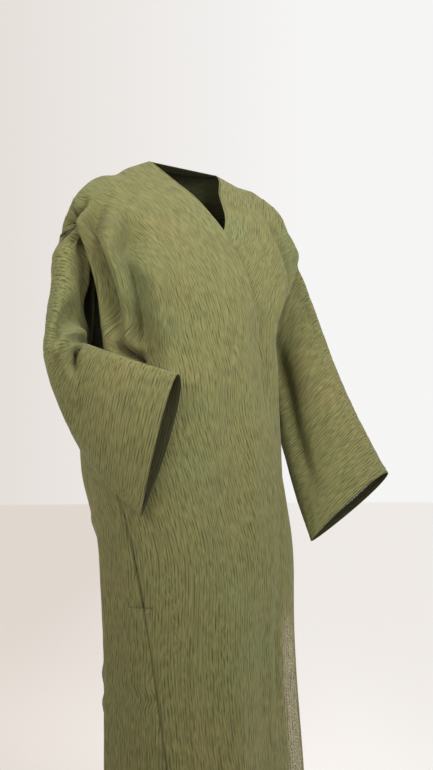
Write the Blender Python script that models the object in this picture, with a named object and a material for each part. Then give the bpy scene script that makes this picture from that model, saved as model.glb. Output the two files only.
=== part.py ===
"""A wrap-front abaya in its worn shape: five cut pieces of one thin cloth, in metres, +Z up.

The origin lies midway between the two points where the neck meets the shoulders. The front is at -Y and
the garment's right side at -X. The right front laps over the left front and the wide sleeves join the
body at dropped seams. The right sleeve is folded forward at its middle; the left one hangs at the side.

The body is worked out on one round surface. PHI turns about its middle: 0 degrees is the front, 90 the
left side and 180 the back. T runs down the cloth from the neck, over the shoulder, to the hem.
"""

import bmesh
import bpy
import numpy as np

# Driving sizes
WALL = 0.0014
HEM_WALL = 0.0022
SEAM_GAP = 0.0003
LAP_GAP = 0.0125
LONGEST_MITRE = 1.8
SHOULDER_FALL = 1.4
NEAR_SEAM_WIDTH = 0.3

# Mesh steps: down the armhole, down the side seam, along a sleeve, and round a sleeve per half
STEPS_ARMHOLE = 14
STEPS_SIDE = 15
STEPS_SLEEVE = 25
# Where the rows of a sleeve lie between the armhole, 0, and the cuff, 1
SLEEVE_ROWS = np.array([
    [0.0, 0.0],
    [0.12, 0.032],
    [0.30, 0.16],
    [0.5, 0.37],
    [1.0, 1.0],
])
# Where the columns of a panel lie between its inner edge, 0, and its side, 1
FRONT_COLUMNS = np.array([
    [0.0, 0.0],
    [0.38, 0.46],
    [1.0, 1.0],
])
BACK_COLUMNS = np.array([
    [0.0, 0.0],
    [0.5, 0.56],
    [1.0, 1.0],
])
RIGHT_FRONT_STEPS = 29
LEFT_FRONT_STEPS = 25
HALF_BACK_STEPS = 15

# Points nearer than this are one
SAME_POINT = 1e-6
# A point this near 0 or 1 across or down a panel lies on its edge
EDGE = 0.01

OLIVE = (0.105, 0.125, 0.043, 1.0)

# Rings of the worn body, a row each, from the neck down.
# t, half width right, half width left, side z right, side z left, side y, front y, front z, back y,
# back z, squareness
BODY_RINGS = np.array([
    [0.000, 0.078, 0.078, 0.006, 0.004, 0.012, -0.050, -0.050, 0.058, 0.006, 0.00],
    [0.075, 0.146, 0.148, -0.024, -0.019, 0.012, -0.096, -0.110, 0.080, -0.078, 0.02],
    [0.153, 0.213, 0.219, -0.057, -0.051, 0.008, -0.122, -0.175, 0.096, -0.158, 0.05],
    [0.200, 0.245, 0.246, -0.092, -0.086, 0.004, -0.134, -0.220, 0.104, -0.198, 0.08],
    [0.245, 0.264, 0.252, -0.134, -0.131, 0.000, -0.142, -0.260, 0.110, -0.232, 0.10],
    [0.300, 0.241, 0.232, -0.187, -0.184, 0.000, -0.147, -0.300, 0.114, -0.270, 0.12],
    [0.370, 0.215, 0.198, -0.257, -0.257, -0.002, -0.150, -0.345, 0.116, -0.315, 0.12],
    [0.483, 0.202, 0.194, -0.370, -0.370, -0.008, -0.154, -0.415, 0.116, -0.400, 0.12],
    [0.650, 0.202, 0.201, -0.537, -0.537, -0.014, -0.160, -0.545, 0.113, -0.545, 0.10],
    [0.830, 0.182, 0.205, -0.717, -0.717, -0.020, -0.162, -0.717, 0.108, -0.717, 0.08],
    [1.000, 0.169, 0.184, -0.887, -0.887, -0.024, -0.163, -0.887, 0.106, -0.887, 0.06],
    [1.250, 0.165, 0.190, -1.137, -1.137, -0.026, -0.168, -1.137, 0.106, -1.137, 0.04],
    [1.523, 0.167, 0.196, -1.410, -1.410, -0.028, -0.174, -1.410, 0.110, -1.410, 0.04],
])

# Armhole of the right side, once round from its top: turn, phi, t. The left side mirrors it.
ARMHOLE = np.array([
    [0, -90, 0.240],
    [45, -84, 0.243],
    [90, -80, 0.252],
    [108, -89, 0.275],
    [125, -98, 0.312],
    [140, -104, 0.355],
    [160, -109, 0.420],
    [180, -114, 0.483],
    [200, -122, 0.420],
    [220, -128, 0.355],
    [235, -129, 0.310],
    [252, -123, 0.276],
    [270, -112, 0.256],
    [315, -99, 0.243],
    [360, -90, 0.240],
])

# Down each panel, the way w runs from 0 at the shoulder to 1 at the hem.
W_UNDERARM = 0.33
# w, t of the side seam, phi on the right side, phi on the left side
SIDE_SEAM = np.array([
    [0.33, 0.483, -114, 114],
    [0.40, 0.610, -94, 99],
    [0.49, 0.757, -74, 92],
    [0.572, 0.874, -66, 90],
    [0.724, 1.100, -54, 86],
    [1.00, 1.523, -32, 80],
])
# w, phi, t of each panel's inner edge: neck and front edge, or neck and centre back
RIGHT_FRONT_EDGE = np.array([
    [0.000, -90, 0.000],
    [0.040, -46, 0.004],
    [0.072, -18.5, 0.020],
    [0.120, 0, 0.081],
    [0.178, 9.2, 0.169],
    [0.238, 15, 0.265],
    [0.314, 27.8, 0.446],
    [0.400, 32.5, 0.616],
    [0.490, 43.8, 0.757],
    [0.572, 55, 0.874],
    [0.724, 58, 1.100],
    [1.000, 62, 1.523],
])
LEFT_FRONT_EDGE = np.array([
    [0.000, 90, 0.000],
    [0.040, 42, 0.008],
    [0.072, 27, 0.034],
    [0.120, 8, 0.100],
    [0.178, -6, 0.180],
    [0.238, -14, 0.280],
    [0.314, -20, 0.446],
    [0.400, -22, 0.616],
    [0.490, -22, 0.757],
    [0.572, -22, 0.874],
    [0.724, -22, 1.100],
    [1.000, -22, 1.523],
])
BACK_EDGE = np.array([
    [0.000, 90, 0.000],
    [0.025, 125, 0.000],
    [0.050, 156, 0.000],
    [0.0707, 180, 0.000],
    [0.120, 180, 0.070],
    [0.178, 180, 0.165],
    [0.238, 180, 0.270],
    [0.314, 180, 0.430],
    [0.400, 180, 0.610],
    [0.490, 180, 0.757],
    [0.572, 180, 0.874],
    [0.724, 180, 1.100],
    [1.000, 180, 1.523],
])
BACK_NECK_ROW = 3

# Folds of the body. A row each: phi and t of three points down its line, half width on the side of the
# lower phi, half width on the side of the higher phi, height outward
FOLDS = np.array([
    [-86, 0.215, -97, 0.340, -104, 0.620, 0.026, 0.046, -0.052],
    [-74, 0.190, -78, 0.330, -80, 0.560, 0.019, 0.018, 0.017],
    [-69, 0.150, -68, 0.300, -73, 0.520, 0.016, 0.019, -0.026],
    [-60, 0.160, -58, 0.290, -69, 0.480, 0.018, 0.018, 0.012],
    [-52, 0.150, -46, 0.275, -62, 0.510, 0.018, 0.026, -0.030],
    [-50, 0.340, -50, 0.480, -50, 0.620, 0.036, 0.036, -0.026],
    [-32, 0.180, -35, 0.340, -42, 0.470, 0.036, 0.020, 0.014],
    [-24, 0.240, -31, 0.370, -36, 0.510, 0.018, 0.034, -0.008],
    [60, 0.110, 39, 0.210, 41, 0.620, 0.030, 0.020, 0.010],
    [58, 0.130, 47, 0.220, 51, 0.440, 0.017, 0.021, -0.020],
    [72, 0.170, 65, 0.250, 67, 0.420, 0.020, 0.020, 0.010],
    [86, 0.226, 98, 0.340, 104, 0.620, 0.042, 0.030, -0.040],
    [84, 0.050, 76, 0.120, 70, 0.220, 0.030, 0.030, 0.009],
    [88, 0.200, 91, 0.262, 97, 0.330, 0.016, 0.014, -0.016],
    [-68, 0.080, -92, 0.086, -116, 0.092, 0.022, 0.022, -0.005],
    [27, 0.270, 29, 0.420, 32, 0.640, 0.032, 0.032, -0.007],
    [2, 0.440, 0, 0.740, -1, 0.980, 0.034, 0.034, -0.009],
    [-17, 0.800, -18, 1.150, -18, 1.620, 0.034, 0.034, -0.010],
    [22, 0.860, 24, 1.200, 26, 1.620, 0.034, 0.034, -0.009],
    [-122, 0.440, -122, 0.600, -118, 0.880, 0.050, 0.050, 0.019],
    [122, 0.190, 128, 0.330, 130, 0.660, 0.030, 0.030, 0.013],
    [140, 0.150, 145, 0.330, 144, 0.680, 0.034, 0.034, -0.016],
    [-128, 0.190, -135, 0.330, -135, 0.660, 0.030, 0.030, 0.012],
    [-144, 0.150, -150, 0.330, -148, 0.680, 0.034, 0.034, -0.016],
    [172, 0.260, 169, 0.850, 165, 1.640, 0.040, 0.040, -0.022],
    [-165, 0.320, -166, 0.900, -164, 1.640, 0.040, 0.040, -0.019],
    [142, 0.600, 141, 1.050, 139, 1.640, 0.038, 0.038, 0.016],
    [-137, 0.680, -139, 1.100, -138, 1.640, 0.038, 0.038, 0.016],
    [118, 0.800, 117, 1.150, 116, 1.640, 0.034, 0.034, -0.012],
    [-120, 0.900, -121, 1.200, -122, 1.640, 0.030, 0.030, -0.010],
    [-98, 0.680, -104, 1.100, -104, 1.640, 0.034, 0.034, 0.008],
])
# Metres round the body for each degree of phi, and round a sleeve for each degree of turn
PHI_METRES = 0.0032
TURN_METRES = 0.0012
FOLD_SAMPLES = 25
# Steps for slopes on the body surface, and how softly its way out levels off under the shoulder
PHI_STEP = 0.5
T_STEP = 0.002
LEVEL_BLEND = 0.03
# A fold is this narrow at its upper end, as a share of its width at the lower one
FOLD_START = 0.85
# How far the free edge of the right front stands off the layer below it: w, height
FLARE = np.array([
    [0.00, 0.000],
    [0.50, 0.000],
    [0.66, 0.022],
    [0.80, 0.031],
    [1.00, 0.044],
])
FLARE_WIDTH = 0.17
# Where the lower front has sunk fully under the upper one, down from the shoulder
UNDER_START = 0.08
# The share of a fold's length over which it rises at each end
FOLD_TAPER = 0.3

# Rings of each sleeve, a row each, from the armhole to the cuff. v, outer x, y, z, inner x, y, z, turn and
# rise of the way out to the near side, its half width inside and outside, the far side's share of that, dip
RIGHT_SLEEVE = np.array([
    [0.00, -0.272, 0.004, -0.142, -0.185, 0.040, -0.370, -100, 0, 0.026, 0.036, 1.25, 3.0],
    [0.06, -0.286, 0.006, -0.195, -0.190, 0.038, -0.370, -104, 0, 0.036, 0.044, 1.15, 3.0],
    [0.12, -0.292, 0.002, -0.258, -0.200, 0.030, -0.370, -106, 0, 0.046, 0.050, 1.03, 2.4],
    [0.19, -0.304, 0.000, -0.325, -0.224, 0.004, -0.369, -114, 0, 0.044, 0.050, 1.0, 1.6],
    [0.24, -0.307, 0.000, -0.390, -0.252, -0.046, -0.367, -125, 0, 0.042, 0.048, 1.0, 1.0],
    [0.29, -0.279, 0.000, -0.466, -0.256, -0.070, -0.371, -140, 0, 0.038, 0.040, 1.0, 1.0],
    [0.34, -0.239, -0.010, -0.550, -0.240, -0.092, -0.381, -148, 0, 0.034, 0.026, 0.9, 1.0],
    [0.40, -0.217, -0.060, -0.610, -0.213, -0.126, -0.397, -151, 0, 0.028, 0.016, 0.9, 1.0],
    [0.50, -0.185, -0.132, -0.671, -0.151, -0.195, -0.427, -151, 0, 0.022, 0.010, 2.0, 1.0],
])
LEFT_SLEEVE = np.array([
    [0.00, 0.263, 0.000, -0.132, 0.185, 0.040, -0.370, -84, 0, 0.028, 0.036, 1.3, 3.0],
    [0.08, 0.292, -0.005, -0.203, 0.201, 0.030, -0.381, -92, 0, 0.038, 0.048, 1.0, 2.4],
    [0.18, 0.319, -0.035, -0.303, 0.222, 0.010, -0.450, -104, 3, 0.036, 0.050, 1.0, 1.6],
    [0.28, 0.340, -0.070, -0.400, 0.228, -0.018, -0.540, -120, 6, 0.030, 0.048, 1.0, 1.2],
    [0.38, 0.362, -0.110, -0.495, 0.230, -0.055, -0.635, -132, 9, 0.028, 0.048, 1.0, 1.0],
    [0.50, 0.394, -0.150, -0.592, 0.232, -0.100, -0.726, -141, 11, 0.026, 0.048, 1.0, 1.0],
])
# Folds of the sleeves. A row each: turn and v of three points along its line, half width on the left of
# that line, half width on its right, height outward
RIGHT_SLEEVE_FOLDS = np.array([
    [356, 0.016, 320, 0.025, 286, 0.034, 0.018, 0.018, 0.008],
    [110, 0.060, 124, 0.090, 140, 0.150, 0.024, 0.024, -0.010],
    [44, 0.240, 84, 0.176, 128, 0.100, 0.024, 0.022, -0.018],
    [62, 0.262, 98, 0.214, 152, 0.130, 0.022, 0.024, 0.016],
    [164, 0.262, 124, 0.286, 100, 0.322, 0.014, 0.014, -0.014],
    [295, 0.190, 265, 0.222, 225, 0.236, 0.026, 0.026, -0.012],
    [276, 0.244, 256, 0.262, 222, 0.274, 0.026, 0.026, 0.008],
])
LEFT_SLEEVE_FOLDS = np.array([
    [4, 0.022, 40, 0.032, 76, 0.040, 0.018, 0.018, 0.009],
    [100, 0.040, 60, 0.150, 40, 0.280, 0.024, 0.024, -0.008],
    [120, 0.120, 90, 0.240, 66, 0.400, 0.024, 0.024, 0.007],
    [250, 0.060, 280, 0.160, 300, 0.300, 0.026, 0.026, -0.009],
    [230, 0.140, 262, 0.260, 280, 0.420, 0.026, 0.026, 0.008],
])
SLEEVE_LENGTH = 0.50
CUFF_HEM = 0.03
# How far from the armhole a sleeve's folds have their full height
FOLDS_START = 0.02
# How far along a sleeve the armhole shapes it
ARMHOLE_BLEND = 0.07
# How the sleeve leaves the body panel: turn from the top, length of its straight start, slope outward
SEAM_START = np.array([
    [0, 0.014, 0.60],
    [60, 0.014, 0.40],
    [110, 0.012, 0.10],
    [150, 0.006, 0.50],
    [180, 0.010, 1.20],
])


def read(table, at):
    """The other columns of a table at these values of its first column, on a smooth curve through the rows."""
    keys = table[:, 0]
    values = table[:, 1:]
    slopes = np.gradient(values, keys, axis=0)
    at = np.clip(at, keys[0], keys[-1])
    row = np.clip(np.searchsorted(keys, at, side="right") - 1, 0, len(keys) - 2)
    step = (keys[row + 1] - keys[row])[..., None]
    s = (at - keys[row])[..., None] / step
    start = (2 * s**3 - 3 * s**2 + 1) * values[row]
    end = (3 * s**2 - 2 * s**3) * values[row + 1]
    leave = (s**3 - 2 * s**2 + s) * step * slopes[row]
    arrive = (s**3 - s**2) * step * slopes[row + 1]
    return start + end + leave + arrive


def ease(x):
    """0 below 0, 1 above 1, and smooth between."""
    x = np.clip(x, 0, 1)
    return x * x * (3 - 2 * x)


def base_surface(phi, t):
    """The round surface of the worn body, before its folds. phi is in degrees."""
    columns = np.moveaxis(read(BODY_RINGS, t), -1, 0)
    half_right, half_left, right_z, left_z, side_y, front_y, front_z, back_y, back_z, square = columns
    sine = np.sin(np.radians(phi))
    cosine = np.cos(np.radians(phi))
    half = np.where(sine < 0, half_right, half_left)
    side_z = np.where(sine < 0, right_z, left_z)
    reach_y = np.where(cosine > 0, front_y, back_y) - side_y
    reach_z = np.where(cosine > 0, front_z, back_z) - side_z
    x = half * sine * (1 + square * cosine**2)
    y = side_y + reach_y * np.abs(cosine) * (1 + square * sine**2)
    z = side_z + reach_z * np.abs(cosine) ** SHOULDER_FALL
    return np.stack([x, y, z], axis=-1)


def fold_height(folds, across, along, metres):
    """How far the folds lift the cloth, where across counts degrees of so many metres each."""
    height = np.zeros(np.shape(across))
    s = np.linspace(0, 1, FOLD_SAMPLES)
    for a0, b0, a1, b1, a2, b2, width_left, width_right, lift in folds:
        line_a = a0 * (1 - s) * (1 - 2 * s) + a1 * 4 * s * (1 - s) + a2 * s * (2 * s - 1)
        line_b = b0 * (1 - s) * (1 - 2 * s) + b1 * 4 * s * (1 - s) + b2 * s * (2 * s - 1)
        line = np.stack([line_a * metres, line_b], -1)
        legs = np.diff(line, axis=0)
        lengths = np.linalg.norm(legs, axis=-1)
        off_a = ((across - a1 + 180) % 360 - 180 + a1) * metres
        to_start = np.stack([off_a, np.asarray(along, float)], -1)[..., None, :] - line[:-1]
        part = np.clip((to_start * legs).sum(-1) / lengths**2, 0, 1)
        gap = to_start - part[..., None] * legs
        away = np.linalg.norm(gap, axis=-1)
        nearest = away.argmin(-1)[..., None]
        away = np.take_along_axis(away, nearest, -1)[..., 0]
        gap_a = np.take_along_axis(gap[..., 0], nearest, -1)[..., 0]
        gap_b = np.take_along_axis(gap[..., 1], nearest, -1)[..., 0]
        turned = legs[nearest[..., 0], 0] * gap_b - legs[nearest[..., 0], 1] * gap_a
        down = (nearest[..., 0] + np.take_along_axis(part, nearest, -1)[..., 0]) / (FOLD_SAMPLES - 1)
        taper = ease(down / FOLD_TAPER) * ease((1 - down) / FOLD_TAPER)
        width = np.where(turned > 0, width_left, width_right) * (FOLD_START + (1 - FOLD_START) * down)
        height += lift * taper * np.exp(-((away / width) ** 2))
    return height


def body_surface(phi, t, lift=0.0):
    """Points of the worn body with its folds, raised by lift."""
    phi, t = np.broadcast_arrays(np.asarray(phi, float), np.asarray(t, float))
    across = base_surface(phi + PHI_STEP, t) - base_surface(phi - PHI_STEP, t)
    along = base_surface(phi, t + T_STEP) - base_surface(phi, np.maximum(t - T_STEP, 0))
    out = unit(np.cross(along, across))
    out[..., 2] = (out[..., 2] + np.sqrt(out[..., 2] ** 2 + LEVEL_BLEND)) / 2
    height = fold_height(FOLDS, phi, t, PHI_METRES) + lift
    return base_surface(phi, t) + unit(out) * height[..., None]


def body_out(phi, t):
    """The way out of the folded body surface."""
    across = body_surface(phi + PHI_STEP, t) - body_surface(phi - PHI_STEP, t)
    along = body_surface(phi, t + T_STEP) - body_surface(phi, np.maximum(t - T_STEP, 0))
    return unit(np.cross(along, across))


def side_line(w, side, behind):
    """phi and t of a panel's outer edge: the armhole, then the side seam. side is -1 right, 1 left."""
    turn = 180 * np.clip(w / W_UNDERARM, 0, 1)
    armhole = read(ARMHOLE, 360 - turn if behind else turn)
    seam = read(SIDE_SEAM, w)
    above = w < W_UNDERARM
    phi = np.where(above, -side * armhole[..., 0], seam[..., 1] if side < 0 else seam[..., 2])
    t = np.where(above, armhole[..., 1], seam[..., 0])
    return phi, t


def down_steps():
    """The values of w of a panel's rows."""
    armhole = np.linspace(0, W_UNDERARM, STEPS_ARMHOLE + 1)
    side = np.linspace(W_UNDERARM, 1, STEPS_SIDE + 1)
    return np.concatenate([armhole, side[1:]])


def half_panel(edge, side, behind, columns, steps, rows):
    """phi, t, u and w of a half panel's grid, rows down and columns from its inner edge to its side."""
    u = read(columns, np.linspace(0, 1, steps + 1))[..., 0]
    w, u = np.meshgrid(rows, u, indexing="ij")
    inner = read(edge, w)
    side_phi, side_t = side_line(w, side, behind)
    inner_phi = np.clip(inner[..., 0], -180, 180)
    phi = inner_phi + (side_phi - inner_phi) * u
    t = inner[..., 1] + (side_t - inner[..., 1]) * u
    return phi, t, u, w


def pull_back(points, edge_row, next_row):
    """Moves the points of an edge half a seam gap towards their neighbours."""
    step = points[next_row] - points[edge_row]
    points[edge_row] += step * (SEAM_GAP / 2) / np.linalg.norm(step, axis=-1, keepdims=True)


def edge_masks(u, w):
    """Where a panel's inner edge is, its lower hem, and its seams: the side, the armhole and the shoulder."""
    return u < EDGE, w > 1 - EDGE, (u > 1 - EDGE) | (w < EDGE / 10)


def open_seams(points):
    """Opens a panel's seams at the shoulder, its first row, and at the armhole and side, its last column."""
    pull_back(points, 0, 1)
    pull_back(points.transpose(1, 0, 2), -1, -2)


def grid_faces(rows, columns, closed=False):
    """Corner numbers of a grid's faces. A closed grid's last column joins its first."""
    faces = []
    last = columns if closed else columns - 1
    for i in range(rows - 1):
        for j in range(last):
            k = (j + 1) % columns
            faces.append((i * columns + j, i * columns + k, (i + 1) * columns + k, (i + 1) * columns + j))
    return faces


def unit(vectors):
    return vectors / np.linalg.norm(vectors, axis=-1, keepdims=True)


def wall_directions(points, faces, given):
    """The way out at each point: its faces' mean normal, or the one given where that isn't nan."""
    corners = points[np.array(faces)]
    normals = np.cross(corners[:, 2] - corners[:, 0], corners[:, 3] - corners[:, 1])
    out = np.zeros_like(points)
    for corner in range(4):
        np.add.at(out, np.array(faces)[:, corner], normals)
    free = np.isnan(given[:, 0])
    ways = given.copy()
    ways[free] = unit(out[free])
    return ways


def cloth_piece(name, points, faces, hem, given):
    """A wall of cloth under these points, thicker where it is hemmed."""
    out = wall_directions(points, faces, given)
    wall = (WALL + (HEM_WALL - WALL) * hem)[:, None]
    below = points - out * wall
    count = len(points)
    sides = {(face[k], face[(k + 1) % 4]) for face in faces for k in range(4)}
    rim = [(a, b) for a, b in sides if (b, a) not in sides]
    every_face = list(faces)
    every_face += [tuple(count + k for k in face[::-1]) for face in faces]
    every_face += [(b, a, count + a, count + b) for a, b in rim]
    mesh = bpy.data.meshes.new(name)
    mesh.from_pydata(np.concatenate([points, below]).tolist(), [], every_face)
    work = bmesh.new()
    work.from_mesh(mesh)
    bmesh.ops.remove_doubles(work, verts=work.verts, dist=SAME_POINT)
    bmesh.ops.triangulate(work, faces=work.faces)
    work.to_mesh(mesh)
    work.free()
    piece = bpy.data.objects.new(name, mesh)
    bpy.context.scene.collection.objects.link(piece)
    mesh.shade_smooth()
    mesh.materials.append(cloth_material(name))


def cloth_material(name):
    material = bpy.data.materials.new(name + "_cloth")
    material.use_nodes = True
    shader = material.node_tree.nodes["Principled BSDF"]
    shader.inputs["Base Color"].default_value = OLIVE
    shader.inputs["Roughness"].default_value = 0.85
    shader.inputs["Metallic"].default_value = 0.0
    return material


def armhole_mitres(side):
    """For each armhole point from its top once round, the way out shared by the body and the sleeve."""
    turns = np.arange(2 * STEPS_ARMHOLE) * 180 / STEPS_ARMHOLE
    table, folds = (RIGHT_SLEEVE, RIGHT_SLEEVE_FOLDS) if side < 0 else (LEFT_SLEEVE, LEFT_SLEEVE_FOLDS)
    v, turn = np.meshgrid(sleeve_rows()[:2], turns, indexing="ij")
    points = sleeve_surface(table, folds, side, v, turn)
    along = points[1] - points[0]
    round_it = np.roll(points[0], -1, axis=0) - np.roll(points[0], 1, axis=0)
    sleeve_out = unit(np.cross(round_it, along) * side)
    hole = read(ARMHOLE, turns)
    panel_out = body_out(-side * hole[..., 0], hole[..., 1])
    mitre = unit(panel_out + sleeve_out)
    reach = 1 / np.maximum((mitre * panel_out).sum(-1, keepdims=True), 1 / LONGEST_MITRE)
    return mitre * reach


def seam_directions(phi, t, seam, side, behind):
    """The way out of a panel where the seam mask is set, with its armhole's mitres, and nan elsewhere."""
    given = np.where(seam[..., None], body_out(phi, t), np.nan)
    rows = np.arange(STEPS_ARMHOLE + 1)
    given[rows, -1] = armhole_mitres(side)[-rows if behind else rows]
    return given.reshape(-1, 3)


def make_right_front():
    phi, t, u, w = half_panel(RIGHT_FRONT_EDGE, -1, False, FRONT_COLUMNS, RIGHT_FRONT_STEPS, down_steps())
    flare = read(FLARE, w)[..., 0] * ease(1 - u / FLARE_WIDTH)
    points = body_surface(phi, t, flare)
    open_seams(points)
    inner, lower, seam = edge_masks(u, w)
    hem = (inner | lower).astype(float)
    given = seam_directions(phi, t, seam, -1, False)
    cloth_piece("right_front", points.reshape(-1, 3), grid_faces(*phi.shape), hem.reshape(-1), given)


def make_left_front():
    phi, t, u, w = half_panel(LEFT_FRONT_EDGE, 1, False, FRONT_COLUMNS, LEFT_FRONT_STEPS, down_steps())
    under = -LAP_GAP * ease((1 - u) / NEAR_SEAM_WIDTH) * ease(w / UNDER_START)
    points = body_surface(phi, t, under)
    open_seams(points)
    inner, lower, seam = edge_masks(u, w)
    hem = (inner | lower).astype(float)
    faces = [face[::-1] for face in grid_faces(*phi.shape)]
    given = seam_directions(phi, t, seam, 1, False)
    cloth_piece("left_front", points.reshape(-1, 3), faces, hem.reshape(-1), given)


def make_back():
    rows = down_steps()
    neck_end = BACK_EDGE[BACK_NECK_ROW, 0] + EDGE / 10
    every_point, every_face, every_hem, every_way = [], [], [], []
    for side in (-1, 1):
        edge = BACK_EDGE * [1, side, 1]
        phi, t, u, w = half_panel(edge, side, True, BACK_COLUMNS, HALF_BACK_STEPS, rows)
        points = body_surface(phi, t)
        open_seams(points)
        faces = grid_faces(*phi.shape)
        if side < 0:
            faces = [face[::-1] for face in faces]
        start = sum(len(p) for p in every_point)
        every_face += [tuple(start + k for k in face) for face in faces]
        every_point.append(points.reshape(-1, 3))
        inner, lower, seam = edge_masks(u, w)
        neck_edge = inner & (w < neck_end)
        every_hem.append((neck_edge | lower).astype(float).reshape(-1))
        every_way.append(seam_directions(phi, t, seam, side, True))
    points = np.concatenate(every_point)
    joined, index = np.unique(np.round(points, 6), axis=0, return_inverse=True)
    index = index.reshape(-1)
    first = np.zeros(len(joined), int)
    first[index[::-1]] = np.arange(len(points))[::-1]
    faces = [tuple(index[k] for k in face) for face in every_face]
    cloth_piece(
        "back", points[first], faces, np.concatenate(every_hem)[first], np.concatenate(every_way)[first]
    )


def sleeve_rings(table, v, theta):
    """Points of a sleeve's rings, v along it and theta once round it from its outer line."""
    columns = np.moveaxis(read(table, v), -1, 0)
    outer = np.stack(columns[0:3], -1)
    inner = np.stack(columns[3:6], -1)
    turn, rise = np.radians(columns[6]), np.radians(columns[7])
    half_inner, half_outer, far_share, dip = columns[8:]
    way = (1 - np.cos(theta)) / 2
    points = outer + (inner - outer) * way[..., None]
    points[..., 2] = outer[..., 2] + (inner - outer)[..., 2] * way**dip
    near = np.stack([np.cos(rise) * np.cos(turn), np.cos(rise) * np.sin(turn), np.sin(rise)], -1)
    half = (half_outer + (half_inner - half_outer) * way) * np.where(np.sin(theta) < 0, far_share, 1)
    return points + near * (np.sin(theta) * half)[..., None]


def armhole(turn, side):
    """Points of an armhole at these turns round it, the way square off it from the panel, and the way out."""
    before, here, after = (read(ARMHOLE, (turn + step) % 360) for step in (-1, 0, 1))
    phi, t = -side * here[..., 0], here[..., 1]
    round_it = body_surface(-side * after[..., 0], after[..., 1])
    round_it = round_it - body_surface(-side * before[..., 0], before[..., 1])
    panel_out = body_out(phi, t)
    return body_surface(phi, t), unit(-side * np.cross(round_it, panel_out)), panel_out


def sleeve_rows():
    return SLEEVE_LENGTH * read(SLEEVE_ROWS, np.linspace(0, 1, STEPS_SLEEVE + 1))[..., 0]


def sleeve_surface(table, folds, side, v, turn):
    """Points of a sleeve: the armhole's line at v 0, blended into the sleeve's own rings, with its folds."""
    rings = sleeve_rings(table, v, np.radians(turn))
    start, square_off, panel_out = armhole(turn, side)
    length, slope = np.moveaxis(read(SEAM_START, 180 - np.abs(180 - turn % 360)), -1, 0)
    leave = unit(square_off + panel_out * slope[..., None])
    straight = length * (1 - np.exp(-v / length))
    blend = 1 - ease(v / ARMHOLE_BLEND)[..., None]
    points = rings * (1 - blend) + (start + leave * straight[..., None]) * blend
    along = np.gradient(points, axis=0)
    round_it = np.roll(points, -1, axis=1) - np.roll(points, 1, axis=1)
    normal = unit(np.cross(round_it, along) * side)
    height = fold_height(folds, turn, v, TURN_METRES) * ease(v / FOLDS_START)
    return points + normal * height[..., None]


def make_sleeve(name, table, folds, side):
    turns = np.arange(2 * STEPS_ARMHOLE) * 180 / STEPS_ARMHOLE
    v, turn = np.meshgrid(sleeve_rows(), turns, indexing="ij")
    points = sleeve_surface(table, folds, side, v, turn)
    points[0] += armhole(turns, side)[1] * SEAM_GAP / 2
    given = np.full(points.shape, np.nan)
    given[0] = armhole_mitres(side)
    hem = (v > SLEEVE_LENGTH - CUFF_HEM).astype(float)
    faces = grid_faces(*v.shape, closed=True)
    if side > 0:
        faces = [face[::-1] for face in faces]
    cloth_piece(name, points.reshape(-1, 3), faces, hem.reshape(-1), given.reshape(-1, 3))


def main():
    for thing in list(bpy.data.objects):
        bpy.data.objects.remove(thing)
    make_back()
    make_right_front()
    make_left_front()
    make_sleeve("right_sleeve", RIGHT_SLEEVE, RIGHT_SLEEVE_FOLDS, -1)
    make_sleeve("left_sleeve", LEFT_SLEEVE, LEFT_SLEEVE_FOLDS, 1)


main()
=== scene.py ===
"""Looks of the wrap-front abaya: crinkled cloth on its five pieces, with hems, stitching and a pocket.

Units are metres, +Z up. The garment's front is at -Y and its right side at -X. The body is worked out on
one round surface: PHI turns about its middle, with the front at 0 degrees and the left side at 90, and T
runs down the cloth from the neck to the hem. A sleeve is worked out from V, along it, and TURN, round it.
"""

import math
from types import SimpleNamespace

import bpy
import numpy as np
from mathutils import Matrix, Vector


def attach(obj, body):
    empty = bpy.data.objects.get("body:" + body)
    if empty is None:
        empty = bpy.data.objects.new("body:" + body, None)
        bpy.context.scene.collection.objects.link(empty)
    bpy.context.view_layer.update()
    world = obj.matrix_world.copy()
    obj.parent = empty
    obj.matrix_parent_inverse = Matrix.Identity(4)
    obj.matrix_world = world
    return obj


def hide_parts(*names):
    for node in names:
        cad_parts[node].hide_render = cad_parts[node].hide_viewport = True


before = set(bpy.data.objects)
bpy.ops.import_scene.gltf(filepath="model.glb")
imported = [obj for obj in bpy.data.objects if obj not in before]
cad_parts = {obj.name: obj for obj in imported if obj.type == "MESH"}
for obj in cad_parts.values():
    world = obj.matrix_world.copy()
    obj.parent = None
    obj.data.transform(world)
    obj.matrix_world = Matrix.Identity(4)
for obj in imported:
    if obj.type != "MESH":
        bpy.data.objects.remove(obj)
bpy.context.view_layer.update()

# Cloth, hems and seams
CLOTH = 0.0009
HEM_CLOTH = 0.0016
HEM_RISE = 0.0004
HEM_BLEND = 0.0015
STITCH_DIP = 0.0005
STITCH_DIP_WIDTH = 0.0014
SEAM_GAP = 0.0003
ARMHOLE_DIP = 0.0003
SIDE_DIP = 0.0034
SEAM_DIP_WIDTH = 0.0026
CALM_BY_SEAM = 0.010
SLEEVE_CALM = 0.030
LAP_GAP = 0.0125
FRONT_HEM = 0.011
CUFF_HEM = 0.014
HEM_WIDTH = 0.022
# How much of the crinkle the layers of a hem press flat
HEM_PRESS = 0.75
# The stretch of w over which the armhole's flat seam turns into the deeper side seam
SEAM_TURNS = 0.03
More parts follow.
